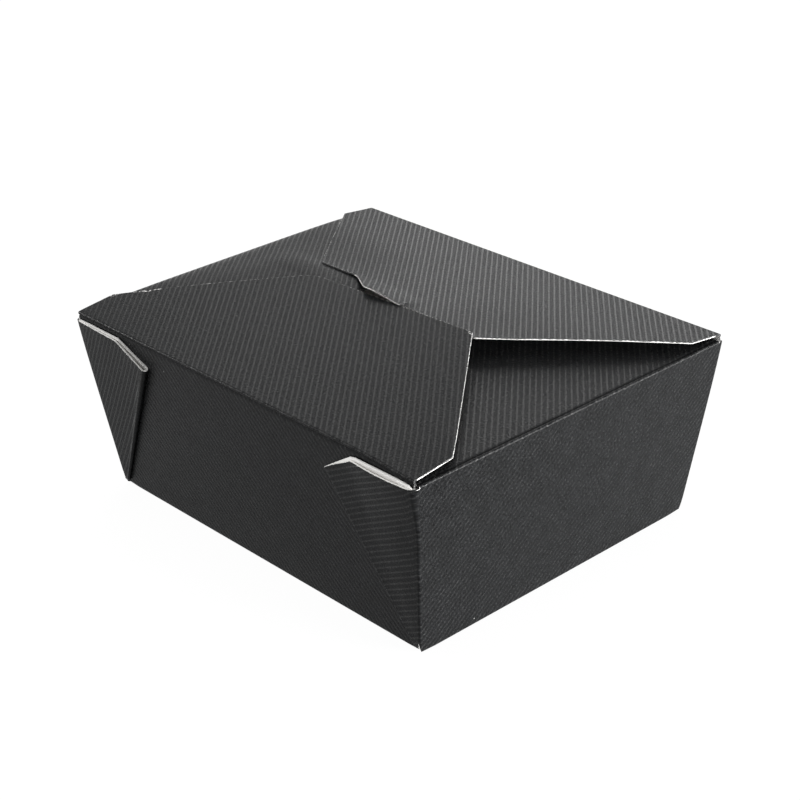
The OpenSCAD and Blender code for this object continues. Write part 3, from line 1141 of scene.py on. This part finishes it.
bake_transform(back_crease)

# Studio: a plain white floor that runs out of view. Two weak soft boxes behind on the left give the
# top its sheen, one low on the right lights the right wall, and three weaker ones light the rest.
floor_half = 6.0
floor_drop = 0.00005
floor_white = 0.95
floor_in_gloss = 0.6
floor_shadow = 0.08
floor_grey = 0.75
world_light = 0.3
aim_at = Vector((0, 0, 0.04))
floor_mesh = bpy.data.meshes.new("floor")
floor_mesh.from_pydata(
    [(-floor_half, -floor_half, 0), (floor_half, -floor_half, 0), (floor_half, floor_half, 0),
     (-floor_half, floor_half, 0)], [], [(0, 1, 2, 3)],
)
floor = bpy.data.objects.new("floor", floor_mesh)
floor.location.z = -floor_drop
bpy.context.scene.collection.objects.link(floor)
material = bpy.data.materials.new("white_floor")
material.use_nodes = True
tree = material.node_tree
tree.nodes.clear()
path = node(tree, "ShaderNodeLightPath").outputs
seen = math_node(
    tree, "MAXIMUM", path["Is Transmission Ray"],
    math_node(tree, "MULTIPLY_ADD", path["Is Glossy Ray"], floor_in_gloss, path["Is Camera Ray"]),
)
glow = node(tree, "ShaderNodeEmission", {"Color": (1, 1, 1, 1), "Strength": floor_white})
faint = node(tree, "ShaderNodeBsdfDiffuse", {"Color": (floor_shadow,) * 3 + (1,)})
shown = node(tree, "ShaderNodeAddShader", {0: glow.outputs[0], 1: faint.outputs[0]})
matt = node(tree, "ShaderNodeBsdfDiffuse", {"Color": (floor_grey,) * 3 + (1,)})
mixed = node(tree, "ShaderNodeMixShader", {0: seen, 1: matt.outputs[0], 2: shown.outputs[0]})
node(tree, "ShaderNodeOutputMaterial", {"Surface": mixed.outputs[0]})
floor_mesh.materials.append(material)

# The world lights the box weakly, and is white where the camera or a reflection sees it.
world = bpy.data.worlds.new("studio")
bpy.context.scene.world = world
world.use_nodes = True
tree = world.node_tree
tree.nodes.clear()
path = node(tree, "ShaderNodeLightPath").outputs
seen = math_node(
    tree, "MAXIMUM", path["Is Transmission Ray"],
    math_node(tree, "MAXIMUM", path["Is Camera Ray"], path["Is Glossy Ray"]),
)
strength = math_node(tree, "MULTIPLY_ADD", seen, 1 - world_light, world_light)
sky = node(tree, "ShaderNodeBackground", {"Color": (1, 1, 1, 1), "Strength": strength})
node(tree, "ShaderNodeOutputWorld", {"Surface": sky.outputs[0]})

# The lamps: name, place, size and power. All are aimed at the box.
for name, place, size, power in (
    ("key_low", (-0.82, 1.2, 0.46), (0.65, 0.45), 1.5),
    ("key_high", (-0.93, 0.8, 0.95), (0.8, 0.5), 2.5),
    ("left_front", (-1.2, -0.75, 0.45), (0.3, 0.4), 11),
    ("front", (0.3, -1.5, 0.6), (1.0, 0.5), 6),
    ("right", (1.3, 0.65, 0.13), (0.9, 0.22), 66),
    ("above", (-0.1, 0.2, 1.5), (1.0, 1.0), 5.1),
):
    light = bpy.data.lights.new(name, "AREA")
    light.shape = "RECTANGLE"
    light.size, light.size_y = size
    light.energy = power
    lamp = bpy.data.objects.new(name, light)
    lamp.location = place
    lamp.rotation_euler = (aim_at - Vector(place)).to_track_quat("-Z", "Y").to_euler()
    bpy.context.scene.collection.objects.link(lamp)
